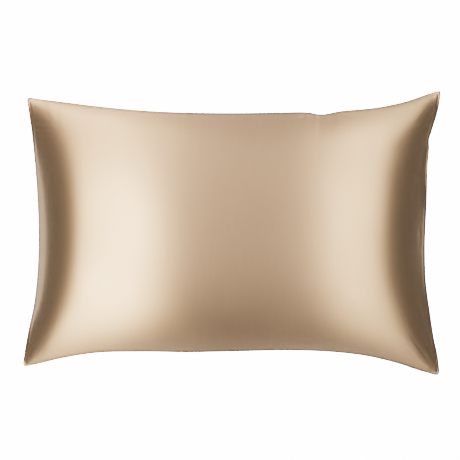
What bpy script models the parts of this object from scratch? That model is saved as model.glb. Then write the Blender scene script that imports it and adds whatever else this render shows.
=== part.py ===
"""Filled pillowcase: one plump satin cushion lying on its back.

The cloth is two rectangular panels, front and back, joined round the rim by a turned
seam, and filled.  The filling draws the four sides in between pointed corners, crowns
the face, and presses the back flat where it rests.

Frame, in metres: the origin is the middle of the resting face, +X runs along the long
side, +Y up the short side, and +Z out through the face.
"""

from collections import namedtuple

import bmesh
import bpy
import numpy as np

NAME = "filled_pillowcase"

# ---- driving dimensions, metres
SEAM_HEIGHT = 0.074        # the seam above the surface, at the middle of a side
TIP_DROP = 0.016           # how much lower than that the seam lies at a corner tip
FACE_RISE = 0.097          # crown of the face above the seam
BACK_DROP = 0.098          # fullness of the back below the seam, before it is pressed flat
SEAM_THICKNESS = 0.0032    # turned seam, from its front fold to its back fold

# ---- shape of the crown
SIDE_FULLNESS = 2.15       # 2 is an ellipse in section, and more is boxier
CORNER_PINCH = 0.30        # share of the height that a pointed corner loses
CORNER_REACH = 3.0         # how tightly that pinch keeps to the corner

# ---- cage, which Subdivision Surface rounds once
COLUMNS = 30
ROWS = 20
EDGE_CROWDING = 0.72       # 0 spaces the cage evenly, 1 crowds it where the sides turn under

# ---- corner tips in plan, metres
Corner = namedtuple("Corner", "x y")
TOP_LEFT = Corner(-0.3578, 0.2378)
TOP_RIGHT = Corner(0.3655, 0.2484)
BOTTOM_RIGHT = Corner(0.3622, -0.2484)
BOTTOM_LEFT = Corner(-0.3655, -0.2324)

# ---- how far each side is drawn in from the straight line between its two tips:
# along is a share of the side, left to right or bottom to top, and drawn_in is in metres
Station = namedtuple("Station", "along drawn_in")
TOP_SIDE = [
    Station(0.00, 0.0000), Station(0.04, 0.0044), Station(0.12, 0.0130),
    Station(0.20, 0.0212), Station(0.30, 0.0290), Station(0.40, 0.0332),
    Station(0.52, 0.0352), Station(0.65, 0.0350), Station(0.78, 0.0326),
    Station(0.86, 0.0266), Station(0.92, 0.0170), Station(0.97, 0.0050),
    Station(1.00, 0.0000),
]
BOTTOM_SIDE = [
    Station(0.00, 0.0000), Station(0.03, 0.0038), Station(0.09, 0.0155),
    Station(0.17, 0.0267), Station(0.28, 0.0312), Station(0.40, 0.0325),
    Station(0.52, 0.0362), Station(0.64, 0.0390), Station(0.74, 0.0376),
    Station(0.83, 0.0310), Station(0.91, 0.0176), Station(0.96, 0.0060),
    Station(1.00, 0.0000),
]
LEFT_SIDE = [
    Station(0.00, 0.0000), Station(0.04, 0.0018), Station(0.12, 0.0082),
    Station(0.22, 0.0174), Station(0.34, 0.0230), Station(0.47, 0.0244),
    Station(0.60, 0.0222), Station(0.75, 0.0164), Station(0.88, 0.0086),
    Station(0.95, 0.0026), Station(1.00, 0.0000),
]
RIGHT_SIDE = [
    Station(0.00, 0.0000), Station(0.05, 0.0014), Station(0.13, 0.0106),
    Station(0.22, 0.0186), Station(0.33, 0.0266), Station(0.44, 0.0286),
    Station(0.60, 0.0264), Station(0.76, 0.0238), Station(0.85, 0.0176),
    Station(0.94, 0.0042), Station(1.00, 0.0000),
]

# ---- small nicks, where the seam puckers and pulls the rim in further
Nick = namedtuple("Nick", "along depth half_width")
TOP_NICK = Nick(0.713, 0.0095, 0.029)      # half_width is a share of the side
RIGHT_NICK = Nick(0.885, 0.0034, 0.030)
NICK_REACH = 6                             # how quickly a nick fades across the panel

# ---- satin, as sRGB shares turned to linear below
SATIN_SRGB = (0.776, 0.671, 0.568)
SATIN_ROUGHNESS = 0.36
SATIN_METALLIC = 0.30


def clear_scene():
    """Remove every object that the file opened with."""
    for item in list(bpy.data.objects):
        bpy.data.objects.remove(item, do_unlink=True)


def linear(srgb):
    """Turn sRGB shares into the linear colour that a shader takes."""
    shares = np.asarray(srgb, dtype=float)
    low = shares / 12.92
    high = ((shares + 0.055) / 1.055) ** 2.4
    return tuple(np.where(shares <= 0.04045, low, high)) + (1.0,)


def satin():
    """Smooth, warm champagne satin."""
    material = bpy.data.materials.new("champagne_satin")
    material.use_nodes = True
    shader = material.node_tree.nodes["Principled BSDF"]
    shader.inputs["Base Color"].default_value = linear(SATIN_SRGB)
    shader.inputs["Roughness"].default_value = SATIN_ROUGHNESS
    shader.inputs["Metallic"].default_value = SATIN_METALLIC
    return material


def through(stations, share):
    """Smooth curve through the stations: cubic pieces that share their slopes."""
    along = np.array([station.along for station in stations])
    drawn = np.array([station.drawn_in for station in stations])
    slope = np.gradient(drawn, along)
    piece = np.clip(np.searchsorted(along, share, side="right") - 1, 0, len(along) - 2)
    width = along[piece + 1] - along[piece]
    t = (share - along[piece]) / width
    start = (1 + 2 * t) * (1 - t) ** 2 * drawn[piece]
    end = t ** 2 * (3 - 2 * t) * drawn[piece + 1]
    leave = t * (1 - t) ** 2 * width * slope[piece]
    arrive = t ** 2 * (t - 1) * width * slope[piece + 1]
    return start + end + leave + arrive


def side(first, last, stations, inward, share):
    """One side of the rim in plan: the line between two tips, drawn in along inward."""
    depth = through(stations, share)
    x = first.x + (last.x - first.x) * share + inward[0] * depth
    y = first.y + (last.y - first.y) * share + inward[1] * depth
    return np.array([x, y])


def nick_depth(nick, share, nearness):
    """A rounded dent at one place of the rim, which fades into the panel."""
    offset = (share - nick.along) / nick.half_width
    return nick.depth * np.exp(-offset ** 2) * nearness ** NICK_REACH


def plan(u, v):
    """Plan of a panel: the four sides blended across it.  u runs right and v runs up."""
    bottom = side(BOTTOM_LEFT, BOTTOM_RIGHT, BOTTOM_SIDE, (0, 1), u)
    top = side(TOP_LEFT, TOP_RIGHT, TOP_SIDE, (0, -1), u)
    left = side(BOTTOM_LEFT, TOP_LEFT, LEFT_SIDE, (1, 0), v)
    right = side(BOTTOM_RIGHT, TOP_RIGHT, RIGHT_SIDE, (-1, 0), v)
    corners = [
        np.outer(BOTTOM_LEFT, (1 - u) * (1 - v)), np.outer(BOTTOM_RIGHT, u * (1 - v)),
        np.outer(TOP_LEFT, (1 - u) * v), np.outer(TOP_RIGHT, u * v),
    ]
    place = (1 - v) * bottom + v * top + (1 - u) * left + u * right - sum(corners)
    place[1] -= nick_depth(TOP_NICK, u, v)
    place[0] -= nick_depth(RIGHT_NICK, v, u)
    return place


def crown(u, v):
    """Height of a filled panel, 0 at the seam and 1 in the middle."""
    across = np.abs(2 * u - 1)
    up = np.abs(2 * v - 1)
    dome = np.sqrt((1 - across ** SIDE_FULLNESS) * (1 - up ** SIDE_FULLNESS))
    return dome * (1 - CORNER_PINCH * (across * up) ** CORNER_REACH)


def seam_height(u, v):
    """Height of the seam, which sinks towards the tips."""
    across = np.abs(2 * u - 1)
    up = np.abs(2 * v - 1)
    return SEAM_HEIGHT - TIP_DROP * (across * up) ** CORNER_REACH


def front_height(u, v):
    return seam_height(u, v) + SEAM_THICKNESS / 2 + FACE_RISE * crown(u, v)


def back_height(u, v):
    """The back hangs below the seam, and lies flat where the surface stops it."""
    hanging = seam_height(u, v) - SEAM_THICKNESS / 2 - BACK_DROP * crown(u, v)
    return np.maximum(hanging, 0.0)


def crowded(share):
    """Move evenly spaced cage lines towards the rim, where the cloth turns fastest."""
    return (1 - EDGE_CROWDING) * share + EDGE_CROWDING * (1 - np.cos(np.pi * share)) / 2


def add_panel(cage, height):
    """One panel: an even grid bent to its plan and its height.  Gives its rim edges."""
    grid = bmesh.ops.create_grid(cage, x_segments=COLUMNS, y_segments=ROWS, size=0.5)
    verts = grid["verts"]
    flat = np.array([vert.co for vert in verts])
    u = crowded(np.clip(flat[:, 0] + 0.5, 0.0, 1.0))
    v = crowded(np.clip(flat[:, 1] + 0.5, 0.0, 1.0))
    x, y = plan(u, v)
    for vert, place in zip(verts, np.column_stack([x, y, height(u, v)])):
        vert.co = place
    edges = {edge for vert in verts for edge in vert.link_edges}
    return [edge for edge in edges if edge.is_boundary]


def cushion_mesh():
    """Front and back panels, with the turned seam bridging their rims."""
    cage = bmesh.new()
    front_rim = add_panel(cage, front_height)
    back_rim = add_panel(cage, back_height)
    bmesh.ops.bridge_loops(cage, edges=front_rim + back_rim)
    bmesh.ops.recalc_face_normals(cage, faces=cage.faces)
    mesh = bpy.data.meshes.new(NAME)
    cage.to_mesh(mesh)
    cage.free()
    mesh.shade_smooth()
    return mesh


def round_off(cushion):
    """Round the cage into a soft form."""
    soft = cushion.modifiers.new("soft_form", "SUBSURF")
    soft.levels = 1
    soft.render_levels = 1


def centre_in_plan(cushion):
    """Slide the cage so that the rounded cushion is centred over the origin."""
    rounded = cushion.evaluated_get(bpy.context.evaluated_depsgraph_get())
    points = np.array([vert.co for vert in rounded.to_mesh().vertices])
    rounded.to_mesh_clear()
    middle = (points.min(axis=0) + points.max(axis=0)) / 2
    for vert in cushion.data.vertices:
        vert.co.x -= middle[0]
        vert.co.y -= middle[1]


def build():
    clear_scene()
    parts = bpy.data.collections.new("pillowcase")
    bpy.context.scene.collection.children.link(parts)
    cushion = bpy.data.objects.new(NAME, cushion_mesh())
    cushion.data.materials.append(satin())
    parts.objects.link(cushion)
    round_off(cushion)
    centre_in_plan(cushion)


build()
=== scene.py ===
# %% [markdown]
# # A filled satin pillowcase
# The object is one pillowcase of smooth champagne silk satin, filled until it is plump.  It
# lies on its back and the camera looks straight down at its face.  Such a thing could be
# sculpted by hand, or blown up from two flat sheets.  Here formulas and short tables make
# most of it, so that each form has a name and a size and can be changed alone.
#
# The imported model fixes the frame: the real size, the place on the surface, and the node
# that the finer cloth below stands for.

from collections import namedtuple

import bpy
import numpy as np
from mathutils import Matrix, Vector


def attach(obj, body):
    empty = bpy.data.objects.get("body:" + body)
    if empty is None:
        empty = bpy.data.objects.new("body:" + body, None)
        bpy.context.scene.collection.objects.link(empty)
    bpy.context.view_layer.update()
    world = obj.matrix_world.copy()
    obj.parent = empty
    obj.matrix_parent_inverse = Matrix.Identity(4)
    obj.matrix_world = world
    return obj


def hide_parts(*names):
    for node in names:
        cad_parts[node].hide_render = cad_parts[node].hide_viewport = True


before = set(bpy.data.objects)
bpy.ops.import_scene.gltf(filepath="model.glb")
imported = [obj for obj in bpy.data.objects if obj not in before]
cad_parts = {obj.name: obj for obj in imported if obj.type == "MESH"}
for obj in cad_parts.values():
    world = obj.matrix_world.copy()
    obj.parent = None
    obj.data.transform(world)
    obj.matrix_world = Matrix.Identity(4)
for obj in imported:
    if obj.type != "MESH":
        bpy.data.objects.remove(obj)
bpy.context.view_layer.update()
NODE = "filled_pillowcase"

# %% [markdown]
# ## The four seamed sides
# On the real thing two rectangles of cloth are sewn together all round and turned.  The
# filling draws the sides in and leaves four pointed corners.  The outline could be drawn as
# a curve, but a short table for each side is easier to compare with the real one: it says
# how far the seam lies inside the straight line between its two corners.

# %% Corner tips and sides
Corner = namedtuple("Corner", "x y")                 # metres, x to the right and y up
TOP_LEFT = Corner(-0.3576, 0.2377)
TOP_RIGHT = Corner(0.3660, 0.2488)
BOTTOM_RIGHT = Corner(0.3628, -0.2489)
BOTTOM_LEFT = Corner(-0.3658, -0.2329)

Station = namedtuple("Station", "along drawn_in")    # share of the side, and metres
TOP_SIDE = [
    Station(0.00, 0.0000), Station(0.04, 0.0040), Station(0.12, 0.0126),
    Station(0.20, 0.0208), Station(0.30, 0.0286), Station(0.40, 0.0328),
    Station(0.52, 0.0348), Station(0.65, 0.0346), Station(0.78, 0.0322),
    Station(0.86, 0.0262), Station(0.92, 0.0166), Station(0.97, 0.0048),
    Station(1.00, 0.0000),
]
BOTTOM_SIDE = [
    Station(0.00, 0.0000), Station(0.03, 0.0036), Station(0.09, 0.0151),
    Station(0.17, 0.0263), Station(0.28, 0.0308), Station(0.40, 0.0321),
    Station(0.52, 0.0358), Station(0.64, 0.0386), Station(0.74, 0.0372),
    Station(0.83, 0.0306), Station(0.91, 0.0172), Station(0.96, 0.0058),
    Station(1.00, 0.0000),
]
LEFT_SIDE = [
    Station(0.00, 0.0000), Station(0.04, 0.0016), Station(0.12, 0.0078),
    Station(0.22, 0.0170), Station(0.34, 0.0226), Station(0.47, 0.0240),
    Station(0.60, 0.0218), Station(0.75, 0.0160), Station(0.88, 0.0082),
    Station(0.95, 0.0024), Station(1.00, 0.0000),
]
RIGHT_SIDE = [
    Station(0.00, 0.0000), Station(0.05, 0.0012), Station(0.13, 0.0102),
    Station(0.22, 0.0182), Station(0.33, 0.0262), Station(0.44, 0.0282),
    Station(0.60, 0.0260), Station(0.76, 0.0234), Station(0.85, 0.0172),
    Station(0.94, 0.0040), Station(1.00, 0.0000),
]
for name, table in (("top", TOP_SIDE), ("bottom", BOTTOM_SIDE),
                    ("left", LEFT_SIDE), ("right", RIGHT_SIDE)):
    print(f"{name} side is drawn in by {max(row.drawn_in for row in table) * 1000:.0f} mm")

# %% [markdown]
# ## Smooth sides with blunt tips
# A seam is one soft line.  Straight pieces between the stations would show as kinks, so
# cubic pieces run through them and share their slopes.  A turned corner is never a needle
# point, because the cloth inside it is folded over.  Near its two ends each side therefore
# swells outwards by a millimetre or two, which blunts the tip.  A bevel would do that too,
# but it would put new points into the even grid.  The top left corner is folded to one
# side: the left seam swells most there, and the top seam least.


# %% A smooth curve through a table
def through(rows, share):
    """Cubic pieces, one from each row to the next, with the same slope where two meet.
    Smooth steps weigh the two rows' values, and the slopes at both ends bend the piece."""
    along, value = np.array(rows).T
    slope = np.gradient(value, along)
    piece = np.clip(np.searchsorted(along, share, side="right") - 1, 0, len(along) - 2)
    width = along[piece + 1] - along[piece]
    t = (share - along[piece]) / width
    start = (1 + 2 * t) * (1 - t) ** 2 * value[piece]
    end = t ** 2 * (3 - 2 * t) * value[piece + 1]
    leave = t * (1 - t) ** 2 * width * slope[piece]
    arrive = t ** 2 * (t - 1) * width * slope[piece + 1]
    return start + end + leave + arrive


quarter = through(TOP_SIDE, np.array([0.25]))[0]
print(f"a quarter along, the top seam is drawn in by {quarter * 1000:.1f} mm")

# %% One side
Tip = namedtuple("Tip", "first last")                # metres of swelling near each end
TOP_TIPS = Tip(0.0006, 0.0016)
BOTTOM_TIPS = Tip(0.0016, 0.0016)
LEFT_TIPS = Tip(0.0014, 0.0024)
RIGHT_TIPS = Tip(0.0020, 0.0014)
TIP_LENGTH = 0.0055        # metres from the tip to where the swelling is greatest


def swelling(height, distance):
    """0 at the tip, greatest at TIP_LENGTH, and fading away: x times e to the 1 - x."""
    reach = distance / TIP_LENGTH
    return height * reach * np.exp(1 - reach)


def side(first, last, stations, tips, inward, share):
    """The straight line between two tips, moved inwards by the table's depth."""
    length = np.hypot(last.x - first.x, last.y - first.y)
    depth = through(stations, share)
    depth = depth - swelling(tips.first, share * length)
    depth = depth - swelling(tips.last, (1 - share) * length)
    x = first.x + (last.x - first.x) * share + inward[0] * depth
    y = first.y + (last.y - first.y) * share + inward[1] * depth
    return np.array([x, y])


middle = side(TOP_LEFT, TOP_RIGHT, TOP_SIDE, TOP_TIPS, (0, -1), np.array([0.5]))
print("middle of the top seam, metres:", middle[:, 0].round(4).tolist())

# %% [markdown]
# ## A sheet stretched between the sides
# Every point of a panel has two shares, u to the right and v up.  Blending the two pairs of
# sides and taking the corners away once gives a plan that meets all four seams exactly.
# Blender could fill the outline with faces, but their points would lie in no order, and
# everything below counts on rows and columns.  In two places a pucker pulls the seam in
# further: a shallow dip in the top side and a small nick high on the right side.

# %% Plan of a panel
Nick = namedtuple("Nick", "along depth half_width")  # share of the side, metres, share
TOP_NICK = Nick(0.713, 0.0050, 0.030)
RIGHT_NICK = Nick(0.828, 0.0020, 0.020)
NICK_REACH = 20            # how soon a nick fades on its way into the panel


def nick_depth(nick, share, nearness):
    """A rounded dent: e to minus the squared offset, times the nearness to a high power."""
    offset = (share - nick.along) / nick.half_width
    return nick.depth * np.exp(-offset ** 2) * nearness ** NICK_REACH


def plan(u, v):
    """Each pair of sides blended across the panel, less the blend of the four corners."""
    bottom = side(BOTTOM_LEFT, BOTTOM_RIGHT, BOTTOM_SIDE, BOTTOM_TIPS, (0, 1), u)
    top = side(TOP_LEFT, TOP_RIGHT, TOP_SIDE, TOP_TIPS, (0, -1), u)
    left = side(BOTTOM_LEFT, TOP_LEFT, LEFT_SIDE, LEFT_TIPS, (1, 0), v)
    right = side(BOTTOM_RIGHT, TOP_RIGHT, RIGHT_SIDE, RIGHT_TIPS, (-1, 0), v)
    corners = (
        np.multiply.outer(BOTTOM_LEFT, (1 - u) * (1 - v))
        + np.multiply.outer(BOTTOM_RIGHT, u * (1 - v))
        + np.multiply.outer(TOP_LEFT, (1 - u) * v)
        + np.multiply.outer(TOP_RIGHT, u * v)
    )
    place = (1 - v) * bottom + v * top + (1 - u) * left + u * right - corners
    place[1] -= nick_depth(TOP_NICK, u, v)
    place[0] -= nick_depth(RIGHT_NICK, v, u)
    return place


dip = plan(np.array([TOP_NICK.along]), np.array([1.0]))
print("top seam at its dip, metres:", dip[:, 0].round(4).tolist())

# %% [markdown]
# ## A seam that rides up in places
# The doubled cloth of the seam is stiffer than the panels, so it doesn't stay level: in
# places it stands up and the panel beside it dips first and climbs after.  Satin shows such
# a small change of slope at once, as a darker or lighter rim.  The lift could be sculpted,
# but a table for each side can be set against the real rim place by place.

# %% Lift of the seam
CLOTH_WIDTH = 0.75         # metres, the flat size of a panel
CLOTH_HEIGHT = 0.50
Lift = namedtuple("Lift", "along height")            # share of the side, and metres
LEFT_LIFT = [
    Lift(0.00, 0.0000), Lift(0.12, 0.0065), Lift(0.25, 0.0010), Lift(0.50, 0.0000),
    Lift(0.72, 0.0060), Lift(0.86, 0.0085), Lift(1.00, 0.0020),
]
RIGHT_LIFT = [
    Lift(0.00, 0.0000), Lift(0.12, 0.0085), Lift(0.25, 0.0145), Lift(0.50, 0.0140),
    Lift(0.72, 0.0170), Lift(0.86, 0.0090), Lift(1.00, 0.0020),
]
BOTTOM_LIFT = [
    Lift(0.00, 0.0000), Lift(0.12, 0.0090), Lift(0.30, 0.0120), Lift(0.50, 0.0160),
    Lift(0.70, 0.0040), Lift(0.88, 0.0020), Lift(1.00, 0.0000),
]
TOP_LIFT = [
    Lift(0.00, 0.0000), Lift(0.12, 0.0000), Lift(0.30, 0.0120), Lift(0.50, 0.0160),
    Lift(0.70, 0.0160), Lift(0.88, 0.0070), Lift(1.00, 0.0000),
]
FOOT_REACH = 0.0065        # metres over which a raised seam blends into the panel


def ridden_up(lifts, along, gap):
    """The table's height, times e to minus the distance over FOOT_REACH."""
    return through(lifts, along) * np.exp(-gap / FOOT_REACH)


def seam_lift(u, v):
    """The four sides' own lifts, added."""
    return (
        ridden_up(LEFT_LIFT, v, u * CLOTH_WIDTH)
        + ridden_up(RIGHT_LIFT, v, (1 - u) * CLOTH_WIDTH)
        + ridden_up(BOTTOM_LIFT, u, v * CLOTH_HEIGHT)
        + ridden_up(TOP_LIFT, u, (1 - v) * CLOTH_HEIGHT)
    )


highest = max(row.height for row in TOP_LIFT + BOTTOM_LIFT + LEFT_LIFT + RIGHT_LIFT)
print(f"the seam rides up by {highest * 1000:.0f} mm at most")

# %% [markdown]
# ## The crown
# The filling lifts the face most in the middle and lets it turn down ever faster towards
# the seams.  An inflated form could be simulated from flat cloth, but its height would be
# hard to steer.  Here two full curves, one each way, are joined so that the corners stay
# lean, and a cloth simulation further down only settles the form.  The back is the same
# form the other way up, pressed flat where it rests.

# %% Height of a panel
SEAM_HEIGHT = 0.074        # metres above the surface, at the middle of a side
TIP_DROP = 0.017           # metres that the seam sinks by towards a tip
FACE_RISE = 0.095          # metres, crown of the face above the seam
BACK_DROP = 0.098          # the same for the back, before it is pressed flat
SEAM_THICKNESS = 0.0032
ACROSS_FULLNESS = 2.13     # 2 is an ellipse in section, and more is boxier
UP_FULLNESS = 2.45
CORNER_FLATNESS = 0.23     # 0 would be the plain product of the two curves
CORNER_REACH = 3.0         # how tightly the drop keeps to the tip


def off_middle(share):
    """0 in the middle of a side and 1 at both of its ends."""
    return np.abs(2 * share - 1)


def crown(u, v):
    """Two full curves, each to a small power, added, less 1, and to one over that power."""
    across = np.sqrt(1 - off_middle(u) ** ACROSS_FULLNESS)
    up = np.sqrt(1 - off_middle(v) ** UP_FULLNESS)
    joined = across ** CORNER_FLATNESS + up ** CORNER_FLATNESS - 1
    return np.maximum(joined, 0.0) ** (1 / CORNER_FLATNESS)


def seam_height(u, v):
    """The seam's level and its lift, less a drop that grows towards the four tips."""
    drop = TIP_DROP * (off_middle(u) * off_middle(v)) ** CORNER_REACH
    return SEAM_HEIGHT + seam_lift(u, v) - drop


def face_points(u, v):
    """The plan, and for a height the seam, half its thickness and the crown."""
    height = seam_height(u, v) + SEAM_THICKNESS / 2 + FACE_RISE * crown(u, v)
    return np.stack([*plan(u, v), height], axis=-1)


def back_points(u, v):
    """The same the other way up, and never below the surface that it rests on."""
    hanging = seam_height(u, v) - SEAM_THICKNESS / 2 - BACK_DROP * crown(u, v)
    return np.stack([*plan(u, v), np.maximum(hanging, 0.0)], axis=-1)


print(f"a twentieth of the way in, the crown has {crown(0.05, 0.5) * 100:.0f}% of its rise")

# %% [markdown]
# ## A grid that is closer at the seams
# Cloth turns fastest beside a seam, so the grid lines crowd together there.  An even grid
# would need several times the points for the same smooth edge.  The counts keep the
# finished piece under 200,000 triangles.

# %% Grid of shares
COLUMNS = 256
ROWS = 172
CROWDING = 0.62            # 0 spaces the lines evenly, 1 crowds them fully at the seams


def crowded(count):
    """Even spacing blended with that of a cosine, which is closest at both ends."""
    even = np.linspace(0, 1, count + 1)
    return (1 - CROWDING) * even + CROWDING * (1 - np.cos(np.pi * even)) / 2


u, v = np.meshgrid(crowded(COLUMNS), crowded(ROWS))
face = face_points(u, v)
back = back_points(u, v)
print(f"face rises to {face[..., 2].max() * 1000:.1f} mm")
print(f"back rests on {np.mean(back[..., 2] == 0) * 100:.0f}% of its points")

# %% [markdown]
# ## One closed skin
# The two panels and the turned seam between them are one skin.  The seam is a half round
# ribbon: it leaves the rim of the face, bulges outwards a little, and meets the rim of the
# back.  Blender could bridge the two rims, but both are known here point by point, so the
# rings between them are worked out too and the whole skin is made at once.


# %% Once round the rim
def rim_order(index):
    """Grid points of the rim, once round, anticlockwise from the bottom left tip."""
    return np.concatenate([index[0, :-1], index[:-1, -1], index[-1, :0:-1], index[:0:-1, 0]])


rim = rim_order(np.arange(u.size).reshape(u.shape))
seam = face.reshape(-1, 3)[rim]
seam_length = np.linalg.norm(np.roll(seam, -1, axis=0) - seam, axis=1).sum()
print(f"{len(rim)} points round a seam {seam_length:.2f} m long")

# %% The turned seam
SEAM_STRIPS = 4
SEAM_BULGE = 0.0007        # metres


def seam_ribbon(top, bottom):
    """Rings between two rims: height falls as a cosine and the bulge swells as a sine."""
    ahead = np.roll(top, -1, axis=0) - np.roll(top, 1, axis=0)
    outward = np.stack([ahead[:, 1], -ahead[:, 0], 0 * ahead[:, 0]], axis=-1)
    outward /= np.linalg.norm(outward, axis=1, keepdims=True)
    turn = np.pi * np.arange(1, SEAM_STRIPS) / SEAM_STRIPS
    share = ((1 - np.cos(turn)) / 2)[:, None, None]
    swell = SEAM_BULGE * np.sin(turn)[:, None, None]
    return (1 - share) * top + share * bottom + swell * outward


print("strips across the turned seam:", SEAM_STRIPS)


# %% Points and quads of the skin
def closed_skin(face, back):
    """Points and quads of both panels and of the ribbon that joins them."""
    rows, columns = face.shape[:2]
    index = np.arange(rows * columns).reshape(rows, columns)
    quads = np.stack([index[:-1, :-1], index[:-1, 1:], index[1:, 1:], index[1:, :-1]], axis=-1)
    quads = quads.reshape(-1, 4)
    rim = rim_order(index)
    count = rows * columns
    face, back = face.reshape(-1, 3), back.reshape(-1, 3)
    rings = seam_ribbon(face[rim], back[rim])
    between = 2 * count + np.arange(rings.shape[0] * len(rim)).reshape(rings.shape[0], -1)
    loops = np.concatenate([rim[None], between, rim[None] + count])
    above, below = loops[:-1], loops[1:]
    ribbon = np.stack([below, np.roll(below, -1, axis=1), np.roll(above, -1, axis=1), above],
                      axis=-1).reshape(-1, 4)
    points = np.concatenate([face, back, rings.reshape(-1, 3)])
    return points, np.concatenate([quads, quads[:, ::-1] + count, ribbon])


print("points in the skin:", len(closed_skin(face, back)[0]))


# %% A mesh object
def new_object(name, points, faces):
    """A mesh object whose place is all in its points."""
    mesh = bpy.data.meshes.new(name)
    mesh.from_pydata(points.tolist(), [], faces.tolist())
    mesh.update()
    item = bpy.data.objects.new(name, mesh)
    bpy.context.scene.collection.objects.link(item)
    return item


# %% [markdown]
# ## Settling the cloth
# A formula is smoother than cloth.  The same skin on half as many lines is run for twenty
# frames as real cloth, with air pressure in place of the filling and the seam held still,
# so that it swells and buckles where it has too much width, most of all beside the seams
# and at the corners.  No point may move further than the cap, and the movement is carried
# over to the fine grid.  The resting patch of the back stays flat.

# %% Silk under air pressure
AIR_PRESSURE = 4.0
LAST_FRAME = 20
SOLVER_STEPS = 5           # in each frame
POINT_MASS = 0.12          # sets how quickly the air moves the cloth
STRETCH_STIFFNESS = 20.0   # against pulling and against pushing
BENDING_STIFFNESS = 0.2    # low, because thin satin bends freely


def as_cloth(item, held):
    """Silk satin under air pressure, without weight, with the seam held."""
    group = item.vertex_groups.new(name="seam")
    group.add(held.tolist(), 1.0, "REPLACE")
    cloth = item.modifiers.new("cloth", "CLOTH")
    silk = cloth.settings
    silk.quality = SOLVER_STEPS
    silk.mass = POINT_MASS
    silk.tension_stiffness = STRETCH_STIFFNESS
    silk.compression_stiffness = STRETCH_STIFFNESS
    silk.bending_stiffness = BENDING_STIFFNESS
    silk.use_pressure = True
    silk.uniform_pressure_force = AIR_PRESSURE
    silk.vertex_group_mass = group.name              # points of this group don't move
    silk.effector_weights.gravity = 0.0
    cloth.point_cache.frame_start = 1
    cloth.point_cache.frame_end = LAST_FRAME


print(f"air pressure {AIR_PRESSURE:.0f}, held for {LAST_FRAME} frames")

# %% Run the frames, and cap the movement
MOVE_CAP = 0.006           # metres
TINY = 1e-9                # keeps a length of nought out of a division


def settled(item):
    """Run the frames and read where the points have gone."""
    scene = bpy.context.scene
    for moment in range(1, LAST_FRAME + 1):
        scene.frame_set(moment)
    ready = item.evaluated_get(bpy.context.evaluated_depsgraph_get()).data
    places = np.empty(len(ready.vertices) * 3, dtype=np.float32)
    ready.vertices.foreach_get("co", places)
    scene.frame_set(1)
    return places.reshape(-1, 3).astype(float)


def capped(move):
    """The same direction, and the cap times the tanh of length over cap for a length."""
    length = np.linalg.norm(move, axis=-1, keepdims=True)
    return move * np.tanh(length / MOVE_CAP) * MOVE_CAP / np.maximum(length, TINY)


print(f"a move of 5 mm is capped to {capped(np.array([0.005, 0, 0]))[0] * 1000:.1f} mm")


# %% Back to the fine grid
def doubled(values, axis):
    """Twice as many lines: old ones kept, new ones by the cubic four-neighbour rule."""
    values = np.moveaxis(values, axis, 0)
    padded = np.concatenate([2 * values[:1] - values[1:2], values,
                             2 * values[-1:] - values[-2:-1]])
    between = (9 * (padded[1:-2] + padded[2:-1]) - padded[:-3] - padded[3:]) / 16
    result = np.empty((2 * len(values) - 1, *values.shape[1:]))
    result[0::2] = values
    result[1::2] = between
    return np.moveaxis(result, 0, axis)


print("0, 1, 4 with new values between:", doubled(np.array([0.0, 1.0, 4.0]), 0).tolist())

# %% Settle both panels
KEPT = 0.5                 # share of the movement that the finished cloth keeps


def settle(face, back):
    """Movement of both panels under the air pressure, on the fine grid."""
    coarse_face, coarse_back = face[::2, ::2], back[::2, ::2]
    points, quads = closed_skin(coarse_face, coarse_back)
    item = new_object("settling_cloth", points, quads)
    count = coarse_face[..., 0].size
    rim = rim_order(np.arange(count).reshape(coarse_face.shape[:2]))
    held = np.concatenate([rim, rim + count, np.arange(2 * count, len(points))])
    as_cloth(item, held)
    moved = capped(settled(item) - points)
    mesh = item.data
    bpy.data.objects.remove(item, do_unlink=True)
    bpy.data.meshes.remove(mesh)
    shape = coarse_face.shape
    panels = moved[:count].reshape(shape), moved[count:2 * count].reshape(shape)
    return [doubled(doubled(panel, 0), 1) for panel in panels]


face_move, back_move = settle(face, back)
print(f"largest movement {np.linalg.norm(face_move, axis=-1).max() * 1000:.1f} mm")
resting = back[..., 2:] == 0
face = face + KEPT * face_move
back = back + np.where(resting, 0.0, KEPT * back_move)
back[..., 2] = np.maximum(back[..., 2], 0.0)

# %% [markdown]
# ## The line of stitches
# Seam line, puckers and creases are far smaller than the crown, so they are laid on it
# afterwards as a relief.  They could be painted as bump in the material, but they are true
# shapes of the cloth and catch the light as such.  First comes the shallow trough beside
# the rim, where the stitches pull.

# %% Distances on the cloth
ROUNDING = 4.0             # more would turn more sharply from one side to the next
LEAST_GAP = 0.00001        # metres, because a gap of nought has no negative power


def seam_distance(u, v):
    """Metres to the nearest side, by a rounded minimum: each of the four distances to the
    power of minus ROUNDING, added, and to one over that power."""
    sides = [u * CLOTH_WIDTH, (1 - u) * CLOTH_WIDTH, v * CLOTH_HEIGHT, (1 - v) * CLOTH_HEIGHT]
    return sum((gap + LEAST_GAP) ** -ROUNDING for gap in sides) ** (-1 / ROUNDING)


def surface_normals(points):
    """The direction square to both grid lines at each point."""
    across = np.gradient(points, axis=1)
    up = np.gradient(points, axis=0)
    normal = np.cross(across, up)
    return normal / np.maximum(np.linalg.norm(normal, axis=-1, keepdims=True), TINY)


gaps = seam_distance(u, v)
print(f"furthest point from any seam: {gaps.max() * 1000:.0f} mm")

# %% Trough beside the seam
STITCH_INSET = 0.0036      # metres from the rim to the line of stitches
STITCH_DEPTH = 0.0005
STITCH_HALF_WIDTH = 0.0016


def stitch_trough(distance):
    """Minus the depth, times e to minus the squared way off the line of stitches."""
    return -STITCH_DEPTH * np.exp(-((distance - STITCH_INSET) / STITCH_HALF_WIDTH) ** 2)


print(f"stitches run {STITCH_INSET * 1000:.1f} mm inside the rim")

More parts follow.
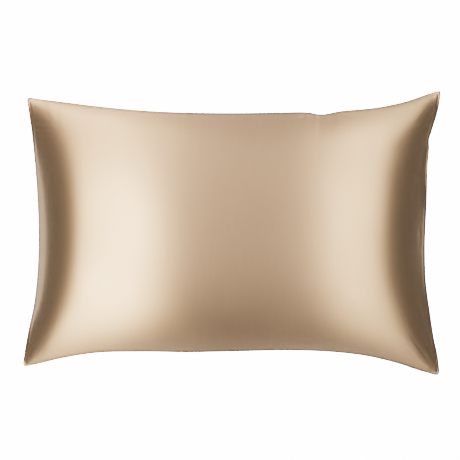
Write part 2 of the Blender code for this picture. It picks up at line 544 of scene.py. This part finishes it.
# %% [markdown]
# ## Puckers along the seam
# A seam is sewn a little tighter than the cloth beside it, so the cloth gathers in small
# waves.  A sine of drifting width looks sewn, where an even one looks printed.  Four rows
# of the table cover whole sides faintly, and the others are the places where it gathers
# more: along and half_width are shares of the side, the rest is in metres.

# %% Puckers
Pucker = namedtuple("Pucker", "edge along half_width height pitch reach")
PUCKERS = [
    Pucker("top", 0.50, 0.60, 0.00010, 0.017, 0.014),
    Pucker("bottom", 0.50, 0.60, 0.00012, 0.018, 0.015),
    Pucker("left", 0.50, 0.60, 0.00016, 0.016, 0.020),
    Pucker("right", 0.50, 0.60, 0.00016, 0.016, 0.020),
    Pucker("left", 0.84, 0.07, 0.00050, 0.014, 0.024),
    Pucker("left", 0.20, 0.06, 0.00045, 0.014, 0.024),
    Pucker("right", 0.52, 0.14, 0.00060, 0.019, 0.018),
    Pucker("right", 0.86, 0.05, 0.00060, 0.017, 0.022),
    Pucker("top", 0.71, 0.05, 0.00040, 0.020, 0.022),
    Pucker("top", 0.12, 0.07, 0.00030, 0.018, 0.020),
]
DRIFT = 1.9                # radians that a wave slides forward and back by
DRIFT_WAVES = 5.3          # waves to one such slide
DRIFT_START = 1.0
UNEVEN = 0.4               # share of the height that comes and goes
UNEVEN_WAVES = 7.7         # waves to one coming and going


def pucker_wave(pucker, u, v):
    """A sine of a sliding turn, times one for its uneven height, times e to minus the
    squared way along from its middle, times e to minus the distance over its reach."""
    along, gap, length = {
        "top": (u, (1 - v) * CLOTH_HEIGHT, CLOTH_WIDTH),
        "bottom": (u, v * CLOTH_HEIGHT, CLOTH_WIDTH),
        "left": (v, u * CLOTH_WIDTH, CLOTH_HEIGHT),
        "right": (v, (1 - u) * CLOTH_WIDTH, CLOTH_HEIGHT),
    }[pucker.edge]
    turn = 2 * np.pi * along * length / pucker.pitch
    wave = np.sin(turn + DRIFT * np.sin(turn / DRIFT_WAVES + DRIFT_START))
    wave = wave * (1 - UNEVEN + UNEVEN * np.sin(turn / UNEVEN_WAVES))
    fade = np.exp(-((along - pucker.along) / pucker.half_width) ** 2)
    return pucker.height * wave * fade * np.exp(-gap / pucker.reach)


print("sets of puckers:", len(PUCKERS))

# %% [markdown]
# ## Creases placed one by one
# A few larger creases run in from the seam: a ridge and a trough beside the puckers of the
# right side, a ridge at the bottom right tip, a trough above the bottom left one, and a
# faint dent near the top left.  They could be sculpted, but a row in a table can be moved
# or dropped at any time.  Each row gives a line in plan, in metres, and a negative height
# is a trough.

# %% Creases
Crease = namedtuple("Crease", "x0 y0 x1 y1 half_width height")
CREASES = [
    Crease(0.3330, 0.0050, 0.3290, -0.0260, 0.0045, 0.0003),
    Crease(0.3250, 0.0100, 0.3300, -0.0300, 0.0040, -0.0003),
    Crease(0.3540, -0.2400, 0.3230, -0.2260, 0.0045, 0.0004),
    Crease(-0.3585, -0.2230, -0.3480, -0.1850, 0.0040, -0.0003),
    Crease(-0.2600, 0.2180, -0.2080, 0.2080, 0.0060, -0.0004),
]
CREASE_TAPER = 0.42        # share of the line, from its middle to where a third is left


def crease_relief(crease, points):
    """The height, times e to minus the squared way aside, times e to minus the fourth power
    of the way along from the middle of the line."""
    start = np.array([crease.x0, crease.y0])
    line = np.array([crease.x1, crease.y1]) - start
    length = np.hypot(*line)
    offset = points[..., :2] - start
    along = offset @ line / length ** 2
    aside = (offset[..., 0] * line[1] - offset[..., 1] * line[0]) / length
    taper = np.exp(-((along - 0.5) / CREASE_TAPER) ** 4)
    return crease.height * taper * np.exp(-(aside / crease.half_width) ** 2)


print("creases placed by hand:", len(CREASES))

# %% [markdown]
# ## Laying the relief on the cloth
# All of it is added up first and moves each point once, along the direction square to the
# cloth.  The back takes the trough and the puckers too, because one row of stitches makes
# them on both panels, and stays flat where it rests.

# %% Lay the relief on both panels
HELD_BY_SEAM = 0.002       # metres beside the seam in which puckers and creases fade out
RESTING_HEIGHT = 0.0005    # metres, under which the back lies on the surface
inside = 1 - np.exp(-(gaps / HELD_BY_SEAM) ** 2)
common = stitch_trough(gaps)
common = common + inside * sum(pucker_wave(pucker, u, v) for pucker in PUCKERS)
face_relief = common + inside * sum(crease_relief(crease, face) for crease in CREASES)
resting = back[..., 2:] <= RESTING_HEIGHT
face = face + surface_normals(face) * face_relief[..., None]
back = back - np.where(resting, 0.0, surface_normals(back) * common[..., None])
back[..., 2] = np.maximum(back[..., 2], 0.0)
print(f"relief runs from {face_relief.min() * 1000:.2f} to {face_relief.max() * 1000:.2f} mm")

# %% [markdown]
# ## The finished piece
# The skin becomes one mesh.  Blender could unwrap it, but the cloth was flat once, so its
# own map, named for the thread, is laid out in metres of that flat cloth.  The weave then
# follows the cloth round every curve.  A second list keeps each point's distance from the
# seam, for the shade that is painted at the rim.

# %% Build the pillowcase
points, quads = closed_skin(face, back)
case = new_object("satin_pillowcase", points, quads)
case.data.shade_smooth()
print("triangles:", 2 * len(quads))

# %% Map of the threads
BACK_SHIFT = (0.0, 0.6)    # metres, which puts the back's map clear of the face's
flat = np.stack([u * CLOTH_WIDTH, v * CLOTH_HEIGHT], axis=-1).reshape(-1, 2)
seam_map = np.tile(flat[rim], (SEAM_STRIPS - 1, 1))
thread_map = np.concatenate([flat, flat + BACK_SHIFT, seam_map])
corners = np.empty(len(case.data.loops), dtype=np.int32)
case.data.loops.foreach_get("vertex_index", corners)
case.data.uv_layers.new(name="thread").data.foreach_set("uv", thread_map[corners].ravel())
print("map reaches, metres:", thread_map.max(axis=0).round(3).tolist())

# %% Distance from the seam
on_seam = np.zeros((SEAM_STRIPS - 1) * len(rim))
seam_gap = np.concatenate([gaps.ravel(), gaps.ravel(), on_seam])
case.data.attributes.new("seam_gap", "FLOAT", "POINT").data.foreach_set("value", seam_gap)
print("points with a distance:", len(seam_gap))

# %% [markdown]
# ## Colours and nodes
# Colours are written as sRGB hex values, as a designer would name them, and one function
# turns them into the linear numbers that a shader takes.  A second small function adds a
# node with its settings and links.


# %% Helpers for materials
def linear(hex_value):
    """sRGB hex to linear RGBA."""
    shares = np.array([int(hex_value[i:i + 2], 16) for i in (1, 3, 5)]) / 255
    low = shares / 12.92
    high = ((shares + 0.055) / 1.055) ** 2.4
    return (*np.where(shares <= 0.04045, low, high).tolist(), 1.0)


def add_node(tree, kind, settings=None, inputs=None):
    """A node, its plain settings, and its inputs: a value, or the output that feeds it."""
    node = tree.nodes.new(kind)
    for name, value in (settings or {}).items():
        setattr(node, name, value)
    for name, value in (inputs or {}).items():
        if isinstance(value, bpy.types.NodeSocket):
            tree.links.new(value, node.inputs[name])
        else:
            node.inputs[name].default_value = value
    return node


def new_material(name):
    """An empty node tree, and the material that it belongs to."""
    material = bpy.data.materials.new(name)
    material.use_nodes = True
    material.node_tree.nodes.clear()
    return material, material.node_tree


print(f"hex #808080 is {linear('#808080')[0]:.2f} in linear light")

# %% [markdown]
# ## Champagne silk satin
# In a satin weave most threads float over the surface side by side, so it shines like
# brushed metal: tight along the threads and wide across them.  Here they float from side to
# side, so the image of each lamp is drawn out up and down the face.  The shine takes the
# colour of the dyed silk, which only a mostly metallic surface does in this shader.  A
# sheen layer is the usual choice for cloth, but it gives the soft rim of velvet, not the
# bands of satin.
#
# The threads lie about 0.1 mm apart.  From here the eye sees only faint upright streaks,
# where some of the binding threads pull tighter or took the dye differently.  These are
# drawn as fine lines of 0.8 mm, with wider runs of another dye and slow changes of polish.

# %% Marks of the threads
RUN = (0.004, 0.080)       # metres, width and length of a run of threads of one dye
THREAD = (0.0008, 0.012)   # real threads are 0.1 mm, drawn coarser to show in a close view
PATCH = (0.09, 0.12)       # slow changes of tension in the cloth
NOISE_LOW, NOISE_HIGH = 0.3, 0.7                     # where most of the noise lies


def marks(tree, cloth, size):
    """Soft noise, drawn out to the width and length of its marks."""
    stretched = add_node(tree, "ShaderNodeMapping", inputs={
        "Vector": cloth.outputs[0], "Scale": (1 / size[0], 1 / size[1], 1.0)})
    return add_node(tree, "ShaderNodeTexNoise", {"noise_dimensions": "2D"}, {
        "Vector": stretched.outputs[0], "Scale": 1.0, "Detail": 2.0, "Roughness": 0.5})


print("width of the marks, mm:", [1000 * size[0] for size in (RUN, THREAD, PATCH)])

# %% [markdown]
# ## Painted shade of the folded rim
# At the seam the cloth is folded over its own allowance and the stitches pull it in, so a
# thin line there lies in shade.  Those folds are too small for this mesh, so their shade is
# painted: the distance each point keeps darkens the colour where they would lie.

# %% Painted shade of the seam
# painted shade: the share of the colour kept at the folded rim and on the stitch line
RIM_SHADE = 0.66           # how much light the folded rim keeps
RIM_FOLD_START = 0.0010    # metres from the seam, where that starts to fade
RIM_FOLD_END = 0.0042
STITCH_SHADE = 0.90        # how much light the line of stitches keeps


def seam_shade(tree):
    """Painted shade, 1 on open cloth and less at the folded rim and on the line of stitches.
    """
    gap = add_node(tree, "ShaderNodeAttribute", {"attribute_name": "seam_gap"})
    rim = add_node(tree, "ShaderNodeMapRange", {"interpolation_type": "SMOOTHSTEP"}, {
        "Value": gap.outputs["Fac"], "From Min": RIM_FOLD_START, "From Max": RIM_FOLD_END,
        "To Min": RIM_SHADE, "To Max": 1.0})
    past = add_node(tree, "ShaderNodeMath", {"operation": "SUBTRACT"}, {
        0: gap.outputs["Fac"], 1: STITCH_INSET})
    aside = add_node(tree, "ShaderNodeMath", {"operation": "ABSOLUTE"}, {0: past.outputs[0]})
    stitches = add_node(tree, "ShaderNodeMapRange", {"interpolation_type": "SMOOTHSTEP"}, {
        "Value": aside.outputs[0], "From Min": 0.0, "From Max": STITCH_HALF_WIDTH,
        "To Min": STITCH_SHADE, "To Max": 1.0})
    return add_node(tree, "ShaderNodeMath", {"operation": "MULTIPLY"}, {
        0: rim.outputs[0], 1: stitches.outputs[0]})


print(f"the rim keeps {RIM_SHADE:.0%} of its light, and the stitches {STITCH_SHADE:.0%}")

# %% Dye of the cloth, times the painted shade of the seam
SATIN_PALE = "#F0CDAF"
SATIN_DEEP = "#EECBAD"


def dye_and_painted_seam_shade(tree, cloth):
    """Pale and deep runs of thread, times the shade painted at the seam."""
    share = add_node(tree, "ShaderNodeMapRange", inputs={
        "Value": marks(tree, cloth, RUN).outputs[0],
        "From Min": NOISE_LOW, "From Max": NOISE_HIGH, "To Min": 0.0, "To Max": 1.0})
    dye = add_node(tree, "ShaderNodeMixRGB", inputs={
        "Fac": share.outputs[0], "Color1": linear(SATIN_DEEP), "Color2": linear(SATIN_PALE)})
    return add_node(tree, "ShaderNodeVectorMath", {"operation": "SCALE"}, {
        "Vector": dye.outputs[0], "Scale": seam_shade(tree).outputs[0]})


print("dye from", SATIN_DEEP, "to", SATIN_PALE)

# %% Satin
METAL_SHARE = 0.90         # the shine has the dye's colour, all but a little of it
ROUGHNESS_LOW, ROUGHNESS_HIGH = 0.405, 0.435
SHINE_STRETCH = 0.92       # 0 is a round highlight, 1 is drawn out as far as it goes
SHINE_TURN = 0.25          # a quarter turn, so that it is drawn out up and down the face
THREAD_RELIEF = 0.00001    # metres


def satin():
    """A dyed, drawn out shine.  Its direction, polish and relief all follow the cloth."""
    material, tree = new_material("champagne_silk_satin")
    cloth = add_node(tree, "ShaderNodeUVMap", {"uv_map": "thread"})
    tangent = add_node(tree, "ShaderNodeTangent", {
        "direction_type": "UV_MAP", "uv_map": "thread"})
    polish = add_node(tree, "ShaderNodeMapRange", inputs={
        "Value": marks(tree, cloth, PATCH).outputs[0],
        "From Min": NOISE_LOW, "From Max": NOISE_HIGH,
        "To Min": ROUGHNESS_LOW, "To Max": ROUGHNESS_HIGH})
    bump = add_node(tree, "ShaderNodeBump", inputs={
        "Height": marks(tree, cloth, THREAD).outputs[0], "Distance": THREAD_RELIEF,
        "Strength": 1.0})
    shader = add_node(tree, "ShaderNodeBsdfPrincipled", inputs={
        "Base Color": dye_and_painted_seam_shade(tree, cloth).outputs[0],
        "Metallic": METAL_SHARE,
        "Roughness": polish.outputs[0],
        "Anisotropic": SHINE_STRETCH,
        "Anisotropic Rotation": SHINE_TURN,
        "Normal": bump.outputs[0],
        "Tangent": tangent.outputs["Tangent"],
    })
    add_node(tree, "ShaderNodeOutputMaterial", inputs={"Surface": shader.outputs[0]})
    return material


case.data.materials.append(satin())
print("finish of the case:", case.data.materials[0].name)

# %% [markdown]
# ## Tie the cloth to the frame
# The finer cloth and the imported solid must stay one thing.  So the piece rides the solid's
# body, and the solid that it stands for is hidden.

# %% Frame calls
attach(case, "root")
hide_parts(NODE)
print(case.name, "stands for", NODE)

# %% [markdown]
# ## Floor
# A sheet of matt white paper, wide enough for every view.  Paper bright enough to show as
# pure white would also light the cloth from below.  So the paper is a plain pale one, and
# a glow that the camera alone sees makes it white.  It lies half a millimetre low, so that
# the flat back and the paper never share a plane.

# %% Paper floor
HALF_FLOOR = 4.0           # metres
FLOOR_DROP = 0.0005
FLOOR_GLOW = 9.0
PAPER = "#BFCEDA"
WHITE = "#FFFFFF"
ends = np.array([(-1, -1), (1, -1), (1, 1), (-1, 1)]) * HALF_FLOOR
ends = np.column_stack([ends, np.full(4, -FLOOR_DROP)])
floor = new_object("floor", ends, np.array([(0, 1, 2, 3)]))
material, tree = new_material("matt_white_paper")
path = add_node(tree, "ShaderNodeLightPath")
paper = add_node(tree, "ShaderNodeBsdfDiffuse", inputs={"Color": linear(PAPER)})
glow = add_node(tree, "ShaderNodeEmission", inputs={
    "Color": linear(WHITE), "Strength": FLOOR_GLOW})
lit = add_node(tree, "ShaderNodeAddShader", inputs={0: paper.outputs[0], 1: glow.outputs[0]})
seen = add_node(tree, "ShaderNodeMixShader", inputs={
    0: path.outputs["Is Camera Ray"], 1: paper.outputs[0], 2: lit.outputs[0]})
add_node(tree, "ShaderNodeOutputMaterial", inputs={"Surface": seen.outputs[0]})
floor.data.materials.append(material)
print(f"paper floor {2 * HALF_FLOOR:.0f} m square")

# %% [markdown]
# ## Soft studio light
# Satin shows the studio: each bright band on it is the mirror image of a lamp.  Two large
# softboxes hang above, left and right, and give the two upright bands.  The left one is
# short and strong and hangs lower in the picture, the right one long and softer.  A dim
# scrim between them keeps the middle from going dark, and an upright panel behind the top
# seam lights the slope there.  What is left dark between lamps and floor gives the deep
# bands along both short sides.  A picture of a room could light the cloth instead, but its
# bands could not be moved one by one.

# %% Softboxes
Softbox = namedtuple("Softbox", "name place aim width length radiance tint")
SOFTBOXES = [              # places and sizes in metres
    Softbox("left_softbox", (-1.69, -0.98, 2.6), (-1.69, -0.98, 0.0),
            1.71, 3.09, 4.29, "#FFF2EB"),
    Softbox("right_softbox", (1.76, 1.58, 2.6), (1.76, 1.58, 0.0),
            1.46, 8.84, 1.72, "#FFF6F1"),
    # a millimetre higher than its neighbours, so that it lies in no plane with them
    Softbox("overhead_scrim", (-0.08, 2.63, 2.601), (-0.08, 2.63, 0.0),
            2.38, 6.74, 0.53, "#FFF8FB"),
    Softbox("back_panel", (-1.62, 4.5, 1.5), (-1.62, 0.0, 1.5),
            2.17, 3.0, 2.47, "#FFF0EB"),
]


def hang(softbox):
    """An area light of even radiance: its power is radiance times area times pi."""
    light = bpy.data.lights.new(softbox.name, "AREA")
    light.shape = "RECTANGLE"
    light.size = softbox.width
    light.size_y = softbox.length
    light.color = linear(softbox.tint)[:3]
    light.energy = softbox.radiance * softbox.width * softbox.length * np.pi
    item = bpy.data.objects.new(softbox.name, light)
    bpy.context.scene.collection.objects.link(item)
    item.location = softbox.place
    towards = Vector(softbox.aim) - item.location
    item.rotation_euler = towards.to_track_quat("-Z", "Y").to_euler()
    item.visible_camera = False


for softbox in SOFTBOXES:
    hang(softbox)
print("softboxes:", len(SOFTBOXES))

# %% [markdown]
# ## The room
# Outside the lamps there is only the dim, slightly blue light of the room, which is what
# the deep bands of the satin mirror.  The camera alone sees the room as white, like the
# paper, so that the two join without a horizon.

# %% Room
ROOM_TINT = "#DCF7FF"
ROOM_LIGHT = 0.0979
ROOM_GLOW = 9.5            # for the camera alone
world = bpy.data.worlds.new("studio")
bpy.context.scene.world = world
world.use_nodes = True
tree = world.node_tree
tree.nodes.clear()
path = add_node(tree, "ShaderNodeLightPath")
room = add_node(tree, "ShaderNodeBackground", inputs={
    "Color": linear(ROOM_TINT), "Strength": ROOM_LIGHT})
pale = add_node(tree, "ShaderNodeBackground", inputs={
    "Color": linear(WHITE), "Strength": ROOM_GLOW})
seen = add_node(tree, "ShaderNodeMixShader", inputs={
    0: path.outputs["Is Camera Ray"], 1: room.outputs[0], 2: pale.outputs[0]})
add_node(tree, "ShaderNodeOutputWorld", inputs={"Surface": seen.outputs[0]})
print("light of the room:", ROOM_LIGHT)

# %% [markdown]
# ## Camera
# The camera hangs straight above the face.  A long lens from three metres keeps the corners
# from leaning, and its height follows from how much width it has to see.  The filmic view
# keeps the bright bands from burning out, and its high contrast keeps the deep ones deep.

# %% Camera
LENS = 135.0               # millimetres
SENSOR = 36.0
SEEN_WIDTH = 0.805         # metres across the picture, at the height of the seam
SEEN_MIDDLE = (-0.0033, 0.0054)                      # metres, the middle of the picture
lens = bpy.data.cameras.new("camera")
lens.lens = LENS
lens.sensor_width = SENSOR
camera = bpy.data.objects.new("camera", lens)
bpy.context.scene.collection.objects.link(camera)
camera.location = (*SEEN_MIDDLE, SEAM_HEIGHT + SEEN_WIDTH * LENS / SENSOR)
bpy.context.scene.camera = camera
bpy.context.scene.view_settings.view_transform = "Filmic"
bpy.context.scene.view_settings.look = "Very High Contrast"
print(f"camera height {camera.location.z:.2f} m")
